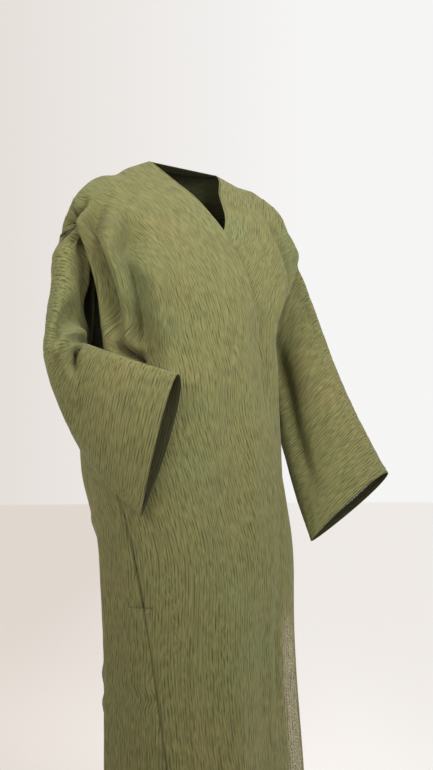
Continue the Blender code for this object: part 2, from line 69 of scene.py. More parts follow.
# The pocket in the right side seam: heights of its mouth's ends, its dip, and the tack across its foot
POCKET_TOP = -0.700
POCKET_FOOT = -0.836
POCKET_EASES = (0.004, 0.02)
POCKET_DIP = 0.0030
POCKET_DIP_WIDTH = 0.0036
TACK_BEHIND = 0.030
TACK_BEFORE = 0.020
TACK_EASE = 0.006
TACK_DIP = 0.0032
TACK_DIP_WIDTH = 0.0030
TACK_LINE_GAP = 0.0016
TOPSTITCH_LENGTH = 0.073
TOPSTITCH_FROM_SEAM = (0.0030, 0.0075)
THREAD_RISE = 0.0002
# Stitches: distance from one to the next, length, radius of the thread
STITCH_INPUTS = ("Spacing", "Stitch Length", "Thread Radius")
STITCH = (0.0034, 0.0026, 0.00032)
TACK_STITCH = (0.0016, 0.0022, 0.0004)
# Where the right front is thin, with holes and painted light shining through: so far in from its free edge,
# and from this w down
SHEER_REACH = 0.060
SHEER_REACH_EASE = 0.025
SHEER_START = 0.60
SHEER_START_EASE = 0.08
# Where the left sleeve is thin, with holes and painted light shining through: on its far side, between
# these turns, from this v to its cuff
SHEER_TURNS = (190, 350)
SHEER_TURN_EASES = (20, 20)
SHEER_V = 0.38
SHEER_V_EASE = 0.06

# Grid steps: down the armhole, down the side seam, across each panel, along a sleeve
STEPS_ARMHOLE = 60
STEPS_SIDE = 135
RIGHT_FRONT_STEPS = 210
LEFT_FRONT_STEPS = 170
HALF_BACK_STEPS = 110
STEPS_SLEEVE = 150
# Where the columns of a panel lie between its inner edge, 0, and its side, 1: closest at the side seam
COLUMN_SHARES = np.array([
    [0.0, 0.0],
    [0.5, 0.53],
    [0.9, 0.955],
    [1.0, 1.0],
])
# Rows added at the pocket's tack, so that it dents the cloth sharply: their middle and reach in w
W_TACK = 0.622
TACK_REACH = 0.006
TACK_ROWS = 13

# Crinkle of the cloth itself, from coarse to fine: spacing across it, length along it, height
CRINKLES = np.array([
    [0.02, 0.12, 0.0005],
    [0.009, 0.055, 0.0004],
    [0.0056, 0.034, 0.0004],
])
# Its lines wander aside: over this many spacings, by this share of one, drawn from a seed this far on
WANDER_SPACINGS = 3
WANDER = 0.8
WANDER_SEED = 10
# The seed of each piece's crinkle
SEEDS = {
    "right_front": 11,
    "left_front": 23,
    "back": 37,
    "right_sleeve": 51,
    "left_sleeve": 67,
}

# Cloth colours, as linear values, with painted shade and painted light among them
MID_OLIVE = (0.150, 0.146, 0.053, 1)
# Painted shade: the dark colour of the crinkle's grooves, which the bump also sinks
GROOVE_SHADE_OLIVE = (0.024, 0.025, 0.007, 1)
GREEN_CAST = (0.130, 0.150, 0.058, 1)
WARM_CAST = (0.188, 0.150, 0.058, 1)
# Painted light: a thin place lit through from behind
BACKLIT_TAN = (0.400, 0.340, 0.190, 1)
# Painted shade, for the deepest creases, the hollows beside the sleeves and the garment's inside
DEEP_SHADE = (0.010, 0.010, 0.004, 1)
THREAD_OLIVES = ((0.150, 0.145, 0.060, 1), (0.240, 0.230, 0.105, 1))
# How far a groove is painted with shade, and how far a thin place is painted lighter, as light shining
# through it
GROOVE_SHADE_SHARE = 0.78
BACKLIGHT_SHARE = 0.55
# How far the inside of the garment is painted with shade, from 0, the cloth's own colour, to 1, the shade's
INNER_SHADE = 0.74
# How high the weave's threads stand beside the depth of a groove
WEAVE_RISE = 0.12

# The tables below that end with these units are in millimetres and degrees. Each number is divided by its
# unit: 1000 for a length, and for T and V, and 1 for an angle or a share
BODY_UNITS = np.array([1000] * 10 + [1])
SLEEVE_UNITS = np.array([1000] * 7 + [1, 1, 1000, 1000, 1, 1])
FOLD_UNITS = np.array([1, 1000] * 3 + [1000] * 3)

# Rings of the worn body, a row each, from the neck down.
# t, half width right, half width left, side z right, side z left, side y, front y, front z, back y,
# back z, squareness
BODY_RINGS = np.array([
    [0, 78, 78, 6, 4, 12, -50, -50, 58, 6, 0],
    [75, 146, 148, -24, -19, 12, -96, -110, 80, -78, 0.02],
    [153, 213, 219, -57, -51, 8, -122, -175, 96, -158, 0.05],
    [200, 245, 246, -92, -86, 4, -134, -220, 104, -198, 0.08],
    [245, 264, 252, -134, -131, 0, -142, -260, 110, -232, 0.1],
    [300, 241, 232, -187, -184, 0, -147, -300, 114, -270, 0.12],
    [370, 215, 198, -257, -257, -2, -150, -345, 116, -315, 0.12],
    [483, 202, 194, -370, -370, -8, -154, -415, 116, -400, 0.12],
    [650, 202, 201, -537, -537, -14, -160, -545, 113, -545, 0.1],
    [830, 182, 205, -717, -717, -20, -162, -717, 108, -717, 0.08],
    [1000, 169, 184, -887, -887, -24, -163, -887, 106, -887, 0.06],
    [1250, 165, 190, -1137, -1137, -26, -168, -1137, 106, -1137, 0.04],
    [1523, 167, 196, -1410, -1410, -28, -174, -1410, 110, -1410, 0.04],
]) / BODY_UNITS

# Armhole of the right side, once round from its top: turn, phi, t. The left side mirrors it.
ARMHOLE = np.array([
    [0, -90, 0.24],
    [45, -84, 0.243],
    [90, -80, 0.252],
    [108, -89, 0.275],
    [125, -98, 0.312],
    [140, -104, 0.355],
    [160, -109, 0.42],
    [180, -114, 0.483],
    [200, -122, 0.42],
    [220, -128, 0.355],
    [235, -129, 0.31],
    [252, -123, 0.276],
    [270, -112, 0.256],
    [315, -99, 0.243],
    [360, -90, 0.24],
])

# Down each panel, the way w runs from 0 at the shoulder to 1 at the hem.
W_UNDERARM = 0.33
# w, t of the side seam, phi on the right side, phi on the left side
SIDE_SEAM = np.array([
    [0.33, 0.483, -114, 114],
    [0.4, 0.61, -94, 99],
    [0.49, 0.757, -74, 92],
    [0.572, 0.874, -66, 90],
    [0.724, 1.1, -54, 86],
    [1.0, 1.523, -32, 80],
])
# w, phi, t of each panel's inner edge: neck and front edge, or neck and centre back
RIGHT_FRONT_EDGE = np.array([
    [0.0, -90, 0.0],
    [0.04, -46, 0.004],
    [0.072, -18.5, 0.02],
    [0.12, 0, 0.081],
    [0.178, 9.2, 0.169],
    [0.238, 15, 0.265],
    [0.314, 27.8, 0.446],
    [0.4, 32.5, 0.616],
    [0.49, 43.8, 0.757],
    [0.572, 55, 0.874],
    [0.724, 58, 1.1],
    [1.0, 62, 1.523],
])
LEFT_FRONT_EDGE = np.array([
    [0.0, 90, 0.0],
    [0.04, 42, 0.008],
    [0.072, 27, 0.034],
    [0.12, 8, 0.1],
    [0.178, -6, 0.18],
    [0.238, -14, 0.28],
    [0.314, -20, 0.446],
    [0.4, -22, 0.616],
    [0.49, -22, 0.757],
    [0.572, -22, 0.874],
    [0.724, -22, 1.1],
    [1.0, -22, 1.523],
])
BACK_EDGE = np.array([
    [0.0, 90, 0.0],
    [0.025, 125, 0.0],
    [0.05, 156, 0.0],
    [0.0707, 180, 0.0],
    [0.12, 180, 0.07],
    [0.178, 180, 0.165],
    [0.238, 180, 0.27],
    [0.314, 180, 0.43],
    [0.4, 180, 0.61],
    [0.49, 180, 0.757],
    [0.572, 180, 0.874],
    [0.724, 180, 1.1],
    [1.0, 180, 1.523],
])

# Folds of the body. A row each: phi and t of three points down its line, half width on the side of the
# lower phi, half width on the side of the higher phi, height outward
FOLDS = np.array([
    [-86, 215, -97, 340, -104, 620, 26, 46, -52],
    [-74, 190, -78, 330, -80, 560, 19, 18, 17],
    [-69, 150, -68, 300, -73, 520, 16, 19, -26],
    [-60, 160, -58, 290, -69, 480, 18, 18, 12],
    [-52, 150, -46, 275, -62, 510, 18, 26, -30],
    [-50, 340, -50, 480, -50, 620, 36, 36, -26],
    [-32, 180, -35, 340, -42, 470, 36, 20, 14],
    [-24, 240, -31, 370, -36, 510, 18, 34, -8],
    [60, 110, 39, 210, 41, 620, 30, 20, 10],
    [58, 130, 47, 220, 51, 440, 17, 21, -20],
    [72, 170, 65, 250, 67, 420, 20, 20, 10],
    [86, 226, 98, 340, 104, 620, 42, 30, -40],
    [84, 50, 76, 120, 70, 220, 30, 30, 9],
    [88, 200, 91, 262, 97, 330, 16, 14, -16],
    [-68, 80, -92, 86, -116, 92, 22, 22, -5],
    [27, 270, 29, 420, 32, 640, 32, 32, -7],
    [2, 440, 0, 740, -1, 980, 34, 34, -9],
    [-17, 800, -18, 1150, -18, 1620, 34, 34, -10],
    [22, 860, 24, 1200, 26, 1620, 34, 34, -9],
    [-122, 440, -122, 600, -118, 880, 50, 50, 19],
    [122, 190, 128, 330, 130, 660, 30, 30, 13],
    [140, 150, 145, 330, 144, 680, 34, 34, -16],
    [-128, 190, -135, 330, -135, 660, 30, 30, 12],
    [-144, 150, -150, 330, -148, 680, 34, 34, -16],
    [172, 260, 169, 850, 165, 1640, 40, 40, -22],
    [-165, 320, -166, 900, -164, 1640, 40, 40, -19],
    [142, 600, 141, 1050, 139, 1640, 38, 38, 16],
    [-137, 680, -139, 1100, -138, 1640, 38, 38, 16],
    [118, 800, 117, 1150, 116, 1640, 34, 34, -12],
    [-120, 900, -121, 1200, -122, 1640, 30, 30, -10],
    [-98, 680, -104, 1100, -104, 1640, 34, 34, 8],
]) / FOLD_UNITS
# Lesser creases that only the cloth itself shows, in the same columns
CREASES = np.array([
    [-71, 240, -71, 330, -73, 450, 7, 9, -6],
    [-74, 464, -63, 482, -48, 476, 11, 12, -46],
    [-60, 454, -50, 450, -42, 438, 6, 6, 6],
    [4, 340, 1, 400, -1, 450, 5, 7, -3],
    [20, 300, 24, 450, 27, 600, 8, 8, -3],
    [12, 180, 17, 330, 22, 520, 10, 10, -3],
    [38, 300, 44, 450, 46, 640, 9, 9, 4],
    [-8, 640, -10, 800, -12, 1000, 11, 11, -4],
    [10, 560, 12, 720, 13, 900, 10, 10, 4],
    [34, 720, 36, 960, 38, 1250, 12, 12, -4],
    [-34, 900, -33, 1150, -31, 1400, 11, 11, -4],
    [2, 1000, 3, 1250, 4, 1600, 12, 12, 4],
    [155, 180, 158, 420, 156, 760, 12, 12, -5],
    [-156, 200, -158, 460, -156, 720, 12, 12, -5],
    [178, 600, -179, 950, 178, 1350, 13, 13, 4],
    [120, 760, 118, 1050, 116, 1400, 12, 12, -5],
    [-120, 900, -121, 1200, -122, 1600, 12, 12, -5],
    [152, 900, 151, 1200, 150, 1640, 12, 12, -4],
    [-150, 820, -151, 1150, -152, 1500, 12, 12, 4],
    [-79, 180, -83, 270, -87, 400, 11, 12, -48],
    [-83, 290, -88, 400, -94, 530, 13, 14, -40],
    [-88, 225, -97, 350, -105, 540, 14, 15, -28],
    [84, 215, 92, 300, 100, 460, 11, 11, -36],
]) / FOLD_UNITS
ALL_FOLDS = np.concatenate([FOLDS, CREASES])

# Creases this deep hold hardly any light: the depth at which they darken, and how fast
DEEP = -0.035
DEEP_START = 0.020
DEEP_EASE = 0.034
# Nor does the hollow behind the front of each sleeve: its reach on the body, and its start on the back
HOLLOW_PHI = (78, 118)
HOLLOW_PHI_EASES = (4, 8)
HOLLOW_T = (0.20, 0.49)
HOLLOW_T_EASES = (0.04, 0.03)
UNDER_ARM_T = 0.31
# Its reach on the sleeve: v, turn at its start
SHADE_START = np.array([
    [0.0, 96],
    [0.05, 122],
    [0.1, 142],
    [0.26, 150],
])
SHADE_END = 212
SHADE_TURN_EASES = (16, 16)
SHADE_V = (0, 0.26)
SHADE_V_EASES = (0.03, 0.03)

# Metres round the body for a degree of phi, and round a sleeve for a degree of turn: folds, crinkle
PHI_METRES = 0.0032
TURN_METRES = 0.0012
CRINKLE_TURN_METRES = 0.0016
FOLD_SAMPLES = 25
# How many of its half widths a fold reaches to either side
FOLD_REACH = 3
# The share of a fold's length over which it rises at each end
FOLD_TAPER = 0.3
# How far from the armhole a sleeve's folds have their full height
FOLDS_START = 0.02
# Where the lower front has sunk fully under the upper one: w down from the shoulder, u in from its side
UNDER_START = 0.08
NEAR_SEAM_WIDTH = 0.3
# Steps for slopes on the body surface, and how softly its way out levels off under the shoulder
PHI_STEP = 0.5
T_STEP = 0.002
LEVEL_BLEND = 0.03
# The power by which the body's z falls from its sides to its front and its back
SHOULDER_FALL = 1.4
# A fold is this narrow at its upper end, as a share of its width at the lower one
FOLD_START = 0.85
# How far the free edge of the right front stands off the layer below it: w, height
FLARE = np.array([
    [0.0, 0.0],
    [0.5, 0.0],
    [0.66, 0.022],
    [0.8, 0.031],
    [1.0, 0.044],
])
FLARE_WIDTH = 0.17

# Rings of each sleeve, a row each, from the armhole to the cuff. v, outer x, y, z, inner x, y, z, turn and
# rise of the way out to the near side, its half width inside and outside, the far side's share of that, dip
RIGHT_SLEEVE = np.array([
    [0, -272, 4, -142, -185, 40, -370, -100, 0, 26, 36, 1.25, 3],
    [60, -286, 6, -195, -190, 38, -370, -104, 0, 36, 44, 1.15, 3],
    [120, -292, 2, -258, -200, 30, -370, -106, 0, 46, 50, 1.03, 2.4],
    [190, -304, 0, -325, -224, 4, -369, -114, 0, 44, 50, 1, 1.6],
    [240, -307, 0, -390, -252, -46, -367, -125, 0, 42, 48, 1, 1],
    [290, -279, 0, -466, -256, -70, -371, -140, 0, 38, 40, 1, 1],
    [340, -239, -10, -550, -240, -92, -381, -148, 0, 34, 26, 0.9, 1],
    [400, -217, -60, -610, -213, -126, -397, -151, 0, 28, 16, 0.9, 1],
    [500, -185, -132, -671, -151, -195, -427, -151, 0, 22, 10, 2, 1],
]) / SLEEVE_UNITS
LEFT_SLEEVE = np.array([
    [0, 263, 0, -132, 185, 40, -370, -84, 0, 28, 36, 1.3, 3],
    [80, 292, -5, -203, 201, 30, -381, -92, 0, 38, 48, 1, 2.4],
    [180, 319, -35, -303, 222, 10, -450, -104, 3, 36, 50, 1, 1.6],
    [280, 340, -70, -400, 228, -18, -540, -120, 6, 30, 48, 1, 1.2],
    [380, 362, -110, -495, 230, -55, -635, -132, 9, 28, 48, 1, 1],
    [500, 394, -150, -592, 232, -100, -726, -141, 11, 26, 48, 1, 1],
]) / SLEEVE_UNITS
# Folds of the sleeves. A row each: turn and v of three points along its line, half width on the left of
# that line, half width on its right, height outward
RIGHT_SLEEVE_FOLDS = np.array([
    [356, 16, 320, 25, 286, 34, 18, 18, 8],
    [110, 60, 124, 90, 140, 150, 24, 24, -10],
    [44, 240, 84, 176, 128, 100, 24, 22, -18],
    [62, 262, 98, 214, 152, 130, 22, 24, 16],
    [164, 262, 124, 286, 100, 322, 14, 14, -14],
    [295, 190, 265, 222, 225, 236, 26, 26, -12],
    [276, 244, 256, 262, 222, 274, 26, 26, 8],
]) / FOLD_UNITS
RIGHT_SLEEVE_CREASES = np.array([
    [164, 262, 126, 284, 104, 322, 6, 8, -15],
    [60, 236, 92, 182, 124, 120, 9, 7, -7],
    [62, 222, 98, 190, 140, 148, 7, 6, 5],
    [88, 24, 108, 50, 134, 78, 6, 7, 7],
    [100, 4, 120, 38, 146, 70, 10, 18, -36],
    [30, 300, 60, 330, 96, 350, 8, 10, -3],
    [20, 350, 70, 380, 120, 410, 12, 12, 2],
    [330, 120, 300, 170, 270, 200, 10, 10, -4],
    [320, 300, 290, 330, 250, 350, 12, 12, 3],
]) / FOLD_UNITS
LEFT_SLEEVE_FOLDS = np.array([
    [4, 22, 40, 32, 76, 40, 18, 18, 9],
    [100, 40, 60, 150, 40, 280, 24, 24, -8],
    [120, 120, 90, 240, 66, 400, 24, 24, 7],
    [250, 60, 280, 160, 300, 300, 26, 26, -9],
    [230, 140, 262, 260, 280, 420, 26, 26, 8],
]) / FOLD_UNITS
LEFT_SLEEVE_CREASES = np.array([
    [60, 220, 80, 300, 96, 380, 10, 10, -3],
    [40, 120, 56, 200, 66, 300, 10, 10, 3],
    [300, 200, 280, 300, 262, 400, 12, 12, -4],
    [330, 60, 310, 130, 296, 220, 10, 10, -4],
    [134, 60, 130, 240, 122, 440, 14, 18, -16],
]) / FOLD_UNITS
SLEEVE_LENGTH = 0.50
SLEEVE_ROWS = np.array([
    [0.0, 0.0],
    [0.12, 0.06],
    [0.5, 0.42],
    [1.0, 1.0],
])
# How far along a sleeve the armhole shapes it
ARMHOLE_BLEND = 0.07
# How the sleeve leaves the body panel: turn from the top, length of its straight start, slope outward
SEAM_START = np.array([
    [0, 0.014, 0.36],
    [60, 0.014, 0.26],
    [110, 0.012, 0.1],
    [150, 0.006, 0.5],
    [180, 0.01, 1.2],
])

# The photograph's viewing angle: azimuth from the front, distance and height of the camera, its tilt and
# its turn away from the garment's middle, and its lens on a 36 mm sensor
CAMERA_AZIMUTH = math.radians(-35.0)
CAMERA_DISTANCE = 2.3
CAMERA_HEIGHT = -0.628
CAMERA_PITCH = math.radians(5.06)
CAMERA_YAW = math.radians(1.515)
CAMERA_LENS = 55.92

# The backdrop is greyer and warmer to the garment's right than to its left, as painted shade on the floor:
# that change's ends and tones
FLOOR_Z = -1.425
FLOOR_REACH = 60.0
FLOOR_SHADE_CHANGE = (-0.9, 0.6)
FLOOR_SHADE_TONES = ((0.79, 0.73, 0.68, 1), (0.93, 0.915, 0.90, 1))
WORLD_CHANGE = (-0.16, 0.10)
WORLD_TONES = ((0.785, 0.735, 0.695, 1), (0.920, 0.915, 0.910, 1))
# Name, place, aim, width, height, spread in degrees, watts
LAMPS = (
    ("key_light", (0.10, -1.30, 0.66), (0.02, -0.10, -0.22), 0.9, 0.8, 80, 6.0),
    ("left_light", (-1.5, -0.8, 0.1), (-0.05, -0.1, -0.25), 0.7, 0.7, 46, 1.8),
)


def read(table, at):
    """The other columns of a table at these values of its first, on a smooth curve through its rows."""
    keys = table[:, 0]
    values = table[:, 1:]
    slopes = np.gradient(values, keys, axis=0)
    at = np.clip(at, keys[0], keys[-1])
    row = np.clip(np.searchsorted(keys, at, side="right") - 1, 0, len(keys) - 2)
    step = (keys[row + 1] - keys[row])[..., None]
    s = (at - keys[row])[..., None] / step
    start = (2 * s**3 - 3 * s**2 + 1) * values[row]
    end = (3 * s**2 - 2 * s**3) * values[row + 1]
    leave = (s**3 - 2 * s**2 + s) * step * slopes[row]
    arrive = (s**3 - s**2) * step * slopes[row + 1]
    return start + end + leave + arrive


def ease(x):
    """0 below 0, 1 above 1, and smooth between."""
    x = np.clip(x, 0, 1)
    return x * x * (3 - 2 * x)


def within(x, limits, eases):
    """1 between two limits and 0 outside them, eased over these stretches inside each."""
    return ease((x - limits[0]) / eases[0]) * ease((limits[1] - x) / eases[1])


def unit(vectors):
    return vectors / np.linalg.norm(vectors, axis=-1, keepdims=True)


def base_surface(phi, t):
    """The round surface of the worn body, before its folds. phi is in degrees."""
    columns = np.moveaxis(read(BODY_RINGS, t), -1, 0)
    half_right, half_left, right_z, left_z, side_y, front_y, front_z, back_y, back_z, square = columns
    sine = np.sin(np.radians(phi))
    cosine = np.cos(np.radians(phi))
    half = np.where(sine < 0, half_right, half_left)
    side_z = np.where(sine < 0, right_z, left_z)
    reach_y = np.where(cosine > 0, front_y, back_y) - side_y
    reach_z = np.where(cosine > 0, front_z, back_z) - side_z
    x = half * sine * (1 + square * cosine**2)
    y = side_y + reach_y * np.abs(cosine) * (1 + square * sine**2)
    z = side_z + reach_z * np.abs(cosine) ** SHOULDER_FALL
    return np.stack([x, y, z], axis=-1)


def fold_height(folds, across, along, metres):
    """How far the folds lift the cloth, where across counts degrees of so many metres each."""
    across, along = np.broadcast_arrays(across, along)
    height = np.zeros(across.shape)
    # How much the first, second and third point of a fold count along its line, which is a parabola
    s = np.linspace(0, 1, FOLD_SAMPLES)
    first, second, third = (1 - s) * (1 - 2 * s), 4 * s * (1 - s), s * (2 * s - 1)
    for a0, b0, a1, b1, a2, b2, width_left, width_right, lift in folds:
        line_a = (a0 * first + a1 * second + a2 * third) * metres
        line = np.stack([line_a, b0 * first + b1 * second + b2 * third], -1)
        legs = np.diff(line, axis=0)
        lengths = np.linalg.norm(legs, axis=-1)
        off_a = ((across - a1 + 180) % 360 - 180 + a1) * metres
        reach = FOLD_REACH * max(width_left, width_right)
        low, high = line.min(0) - reach, line.max(0) + reach
        near = (off_a > low[0]) & (off_a < high[0]) & (along > low[1]) & (along < high[1])
        to_start = np.stack([off_a[near], along[near]], -1)[:, None, :] - line[:-1]
        part = np.clip((to_start * legs).sum(-1) / lengths**2, 0, 1)
        gap = to_start - part[..., None] * legs
        away = np.linalg.norm(gap, axis=-1)
        leg = away.argmin(-1)
        each = np.arange(len(leg))
        away = away[each, leg]
        turned = legs[leg, 0] * gap[each, leg, 1] - legs[leg, 1] * gap[each, leg, 0]
        down = (leg + part[each, leg]) / (FOLD_SAMPLES - 1)
        taper = ease(down / FOLD_TAPER) * ease((1 - down) / FOLD_TAPER)
        width = np.where(turned > 0, width_left, width_right) * (FOLD_START + (1 - FOLD_START) * down)
        height[near] += lift * taper * np.exp(-((away / width) ** 2))
    return height


def deep_shade(folds, across, along, metres):
    """Painted shade: 1 down in the deepest creases, 0 on the open cloth."""
    depth = -fold_height(folds[folds[:, -1] <= DEEP], across, along, metres)
    return ease((depth - DEEP_START) / DEEP_EASE)


def hollow_shade(phi, t):
    """1 where the body lies behind the front of a sleeve, which keeps the light from it."""
    return within(np.abs(phi), HOLLOW_PHI, HOLLOW_PHI_EASES) * within(t, HOLLOW_T, HOLLOW_T_EASES)


def facing_shade(turn, v):
    """Painted shade: 1 where a sleeve faces the body behind its own front edge."""
    beyond = within(turn, (read(SHADE_START, v)[..., 0], SHADE_END), SHADE_TURN_EASES)
    return beyond * within(v, SHADE_V, SHADE_V_EASES)


def way_out(surface, phi, t):
    """The way square out of a surface at phi and t."""
    across = surface(phi + PHI_STEP, t) - surface(phi - PHI_STEP, t)
    along = surface(phi, t + T_STEP) - surface(phi, np.maximum(t - T_STEP, 0))
    return unit(np.cross(along, across))


def body_surface(phi, t, lift=0.0):
    """Points of the worn body with its folds, raised by lift."""
    phi, t = np.broadcast_arrays(np.asarray(phi, float), np.asarray(t, float))
    out = way_out(base_surface, phi, t)
    out[..., 2] = (out[..., 2] + np.sqrt(out[..., 2] ** 2 + LEVEL_BLEND)) / 2
    height = fold_height(ALL_FOLDS, phi, t, PHI_METRES) + lift
    return base_surface(phi, t) + unit(out) * height[..., None]


def side_line(w, side, behind):
    """phi and t of a panel's outer edge: the armhole, then the side seam. side is -1 right, 1 left."""
    turn = 180 * np.clip(w / W_UNDERARM, 0, 1)
    armhole_line = read(ARMHOLE, 360 - turn if behind else turn)
    seam = read(SIDE_SEAM, w)
    above = w < W_UNDERARM
    phi = np.where(above, -side * armhole_line[..., 0], seam[..., 1] if side < 0 else seam[..., 2])
    t = np.where(above, armhole_line[..., 1], seam[..., 0])
    return phi, t


def down_steps():
    """The values of w of a panel's rows."""
    beside_armhole = np.linspace(0, W_UNDERARM, STEPS_ARMHOLE + 1)
    beside_seam = np.linspace(W_UNDERARM, 1, STEPS_SIDE + 1)
    beside_tack = np.linspace(W_TACK - TACK_REACH, W_TACK + TACK_REACH, TACK_ROWS)
    return np.sort(np.concatenate([beside_armhole, beside_seam[1:], beside_tack]))


def half_panel(edge, side, behind, steps):
    """phi, t, u and w of a half panel's grid, rows down and columns from its inner edge to its side."""
    u = read(COLUMN_SHARES, np.linspace(0, 1, steps + 1))[..., 0]
    w, u = np.meshgrid(down_steps(), u, indexing="ij")
    inner = read(edge, w)
    side_phi, side_t = side_line(w, side, behind)
    inner_phi = np.clip(inner[..., 0], -180, 180)
    phi = inner_phi + (side_phi - inner_phi) * u
    t = inner[..., 1] + (side_t - inner[..., 1]) * u
    return phi, t, u, w


def distance(points, axis, from_end=False):
    """Metres along a grid's rows or columns, from its first line or from its last."""
    legs = np.linalg.norm(np.diff(points, axis=axis), axis=-1)
    start = np.zeros_like(np.take(legs, [0], axis=axis))
    total = np.concatenate([start, np.cumsum(legs, axis=axis)], axis=axis)
    if from_end:
        return np.take(total, [-1], axis=axis) - total
    return total


def grid_out(points, facing, closed=False):
    """The way out at each point of a grid, facing 1 or -1 by the way its rows and columns run."""
    down = np.gradient(points, axis=0)
    if closed:
        round_it = np.roll(points, -1, axis=1) - np.roll(points, 1, axis=1)
    else:
        round_it = np.gradient(points, axis=1)
    return unit(np.cross(down, round_it) * facing)


def value_noise(x, y, seed):
    """Smooth noise from -1 to 1 with one random value at each whole x and y."""
    size = 256
    values = np.random.RandomState(seed).uniform(-1, 1, (size, size))
    column, row = np.floor(x).astype(int), np.floor(y).astype(int)
    across, along = ease(x - column), ease(y - row)
    corner = [[values[(row + i) % size, (column + j) % size] for j in (0, 1)] for i in (0, 1)]
    upper = corner[0][0] * (1 - across) + corner[0][1] * across
    lower = corner[1][0] * (1 - across) + corner[1][1] * across
    return upper * (1 - along) + lower * along


def crinkle(across, along, seed):
    """Height of the cloth's crinkle, for metres across it and along it."""
    height = np.zeros_like(across)
    for k, (spacing, length, rise) in enumerate(CRINKLES):
        wander = value_noise(across / (WANDER_SPACINGS * spacing), along / length, seed + WANDER_SEED + k)
        height += rise * value_noise(across / spacing + wander * WANDER, along / length, seed + k)
    return height


def on_hem(from_edge, width):
    """1 on a hem of this width, 0 on the open cloth."""
    return 1 - ease((from_edge - width) / HEM_BLEND)


def hem_height(from_edge, width):
    """A hem stands a little proud as far as its stitches, which lie in a narrow dip."""
    dip = STITCH_DIP * np.exp(-(((from_edge - width + HEM_BLEND) / STITCH_DIP_WIDTH) ** 2))
    return HEM_RISE * on_hem(from_edge, width) - dip


def calm(from_seam, down, hemmed, by_top=CALM_BY_SEAM):
    """How much of the crinkle is left beside the seams, the top one by_top metres wide, and on the hems."""
    return ease(from_seam / CALM_BY_SEAM) * ease(down / by_top) * (1 - HEM_PRESS * hemmed)


def seam_height(from_seam, dip=ARMHOLE_DIP):
    """A seam lies in a narrow dip."""
    return -dip * np.exp(-((from_seam / SEAM_DIP_WIDTH) ** 2))


def side_height(points, from_side, w, tack, right=True):
    """The armhole's seam, the side seam below it and, on the right, the pocket's mouth and its tack."""
    below_arm = ease((w - W_UNDERARM) / SEAM_TURNS)
    height = seam_height(from_side, ARMHOLE_DIP + (SIDE_DIP - ARMHOLE_DIP) * below_arm)
    if right:
        z = points[..., 2]
        mouth = within(z, (POCKET_FOOT, POCKET_TOP), POCKET_EASES)
        height -= POCKET_DIP * mouth * np.exp(-((from_side / POCKET_DIP_WIDTH) ** 2))
        beside = ease((tack - from_side) / TACK_EASE) * (w > W_UNDERARM)
        height -= TACK_DIP * beside * np.exp(-(((z - POCKET_FOOT) / TACK_DIP_WIDTH) ** 2))
    return height


def grid_faces(rows, columns, closed=False):
    """Corner numbers of a grid's faces. A closed grid's last column joins its first."""
    last = columns if closed else columns - 1
    row, column = np.meshgrid(np.arange(rows - 1), np.arange(last), indexing="ij")
    corner = row * columns + column
    beside = row * columns + (column + 1) % columns
    return np.stack([corner, beside, beside + columns, corner + columns], -1).reshape(-1, 4)


def grid_rim(rows, columns, closed=False):
    """Point numbers along a grid's open edges, as loops of consecutive points."""
    number = np.arange(rows * columns).reshape(rows, columns)
    if closed:
        return [number[0], number[-1]]
    return [np.concatenate([number[0], number[1:, -1], number[-1, -2::-1], number[-2:0:-1, 0]])]


def put(name, data):
    """A new object with this data, linked into the scene."""
    made = bpy.data.objects.new(name, data)
    bpy.context.scene.collection.objects.link(made)
    return made


def cloth_shell(name, outer, hemmed, grain, sheer, shade, facing, closed=False):
    """A thin closed shell below a grid of points, with its grain in metres as a UV map."""
    rows, columns = outer.shape[:2]
    count = rows * columns
    wall = CLOTH + (HEM_CLOTH - CLOTH) * hemmed
    inner = outer - grid_out(outer, facing, closed) * wall[..., None]
    faces = grid_faces(rows, columns, closed)
    if facing < 0:
        faces = faces[:, ::-1]
    rims = []
    for loop in grid_rim(rows, columns, closed):
        after = np.roll(loop, -1)
        rims.append(np.stack([loop, after, after + count, loop + count], -1))
    rims = np.concatenate(rims)
    edges = {tuple(edge) for face in faces for edge in zip(face, np.roll(face, -1))}
    rims = [face if (face[1], face[0]) in edges else face[::-1] for face in rims]
    every_face = np.concatenate([faces, faces[:, ::-1] + count, np.array(rims)])
    mesh = bpy.data.meshes.new(name)
    every_point = np.concatenate([outer.reshape(-1, 3), inner.reshape(-1, 3)])
    mesh.from_pydata(every_point.tolist(), [], every_face.tolist())
    mesh.update()
    corner = every_face.reshape(-1)
    flat_grain = grain.reshape(-1, 2)[corner % count]
    if closed:
        # The grain runs on round a tube and parts only at its seam.
        middle = flat_grain.reshape(-1, 4, 2)[:, :, 1].mean(1).repeat(4)
        span = np.ptp(grain[..., 1]) * columns / (columns - 1)
        flat_grain[:, 1] += span * (flat_grain[:, 1] - middle < -span / 3)
    layer = mesh.uv_layers.new(name="grain")
    layer.data.foreach_set("uv", flat_grain.astype(np.float32).ravel())
    # The inside of the shell is painted with shade
    inner_shade = np.maximum(shade, INNER_SHADE)
    for given, outside, inside in (("sheer", sheer, sheer), ("shade", shade, inner_shade)):
        values = mesh.attributes.new(given, "FLOAT", "POINT")
        values.data.foreach_set("value", np.stack([outside, inside]).astype(np.float32).ravel())
    mesh.shade_smooth()
    return put(name, mesh)


def armhole(turn, side):
    """Points of an armhole at these turns round it, the way off it from the panel, and the way out."""
    before, here, after = (read(ARMHOLE, (turn + step) % 360) for step in (-1, 0, 1))
    phi, t = -side * here[..., 0], here[..., 1]
    round_it = body_surface(-side * after[..., 0], after[..., 1])
    round_it = round_it - body_surface(-side * before[..., 0], before[..., 1])
    panel_out = way_out(body_surface, phi, t)
    return body_surface(phi, t), unit(-side * np.cross(round_it, panel_out)), panel_out


